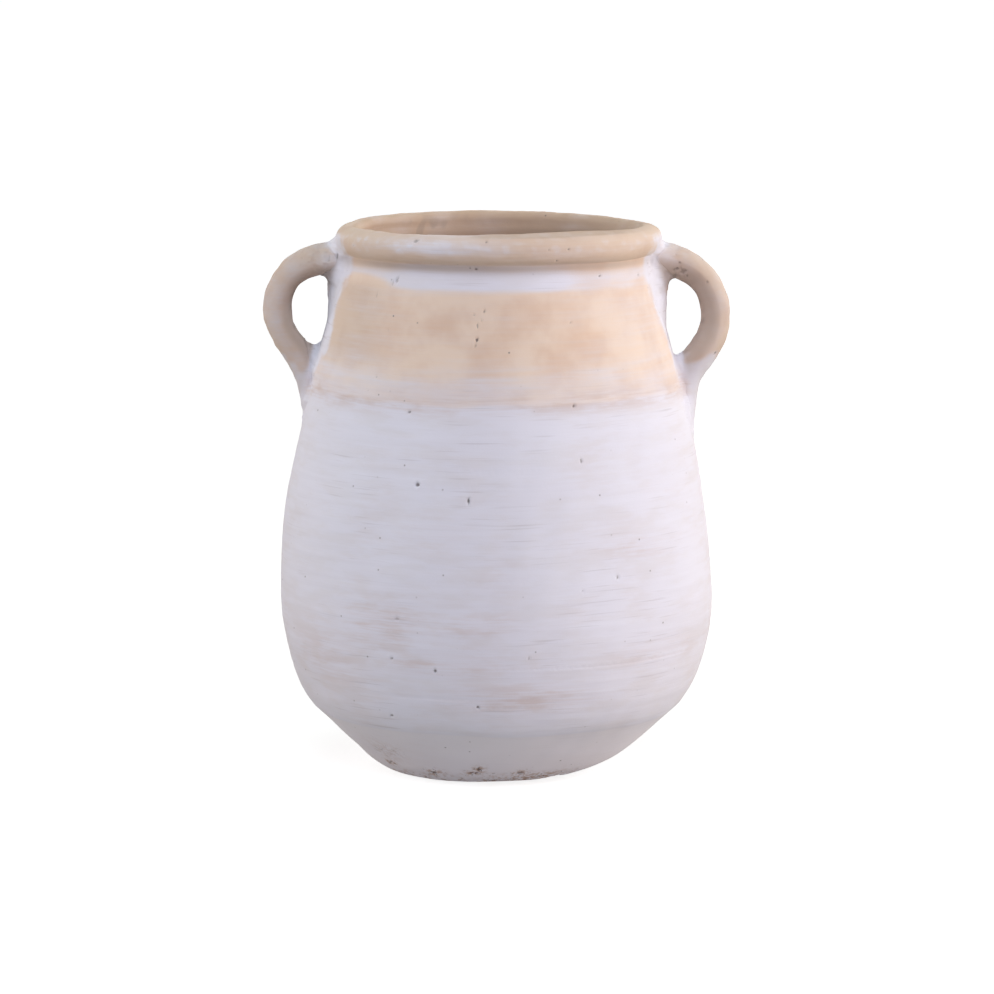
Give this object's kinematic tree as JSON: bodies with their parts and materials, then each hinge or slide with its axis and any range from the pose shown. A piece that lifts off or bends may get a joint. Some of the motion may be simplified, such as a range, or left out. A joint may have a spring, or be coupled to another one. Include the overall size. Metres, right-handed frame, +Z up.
{
  "type": "terracotta vase",
  "caption": "Whitewashed terracotta vase: rounded belly on a trimmed cone foot, tapering shoulder with a bare clay band, rolled rim and pulled loop handles luted under the rim.",
  "frame": {"origin": "middle of the flat underside of the foot, on the surface that the vase stands on", "axes": "+Z up through the mouth, the handles on +X and -X, +Y to the back"},
  "size_m": [0.2626, 0.241, 0.305],
  "materials": {
    "trimmed_clay": "fired terracotta under a thin greyish slip, trimmed with a tool, matt",
    "slip_wash": "fired terracotta brushed with white slip, streaky and matt",
    "bare_clay": "bare fired terracotta, pale peach, matt, with white slip in the neck",
    "strap_clay": "bare fired terracotta, wiped with slip, matt",
    "luting_clay": "soft luting clay smeared by hand, white slip over it, matt"
  },
  "bodies": {
    "root": {"base_disc": "trimmed_clay", "foot_wall": "trimmed_clay", "belly_wall": "slip_wash", "shoulder_wall": "bare_clay", "rim_roll": "bare_clay", "handle_left": "strap_clay", "handle_right": "strap_clay", "luting_upper_left": "luting_clay", "luting_upper_right": "luting_clay", "luting_lower_left": "luting_clay", "luting_lower_right": "luting_clay"}
  },
  "joints": []
}
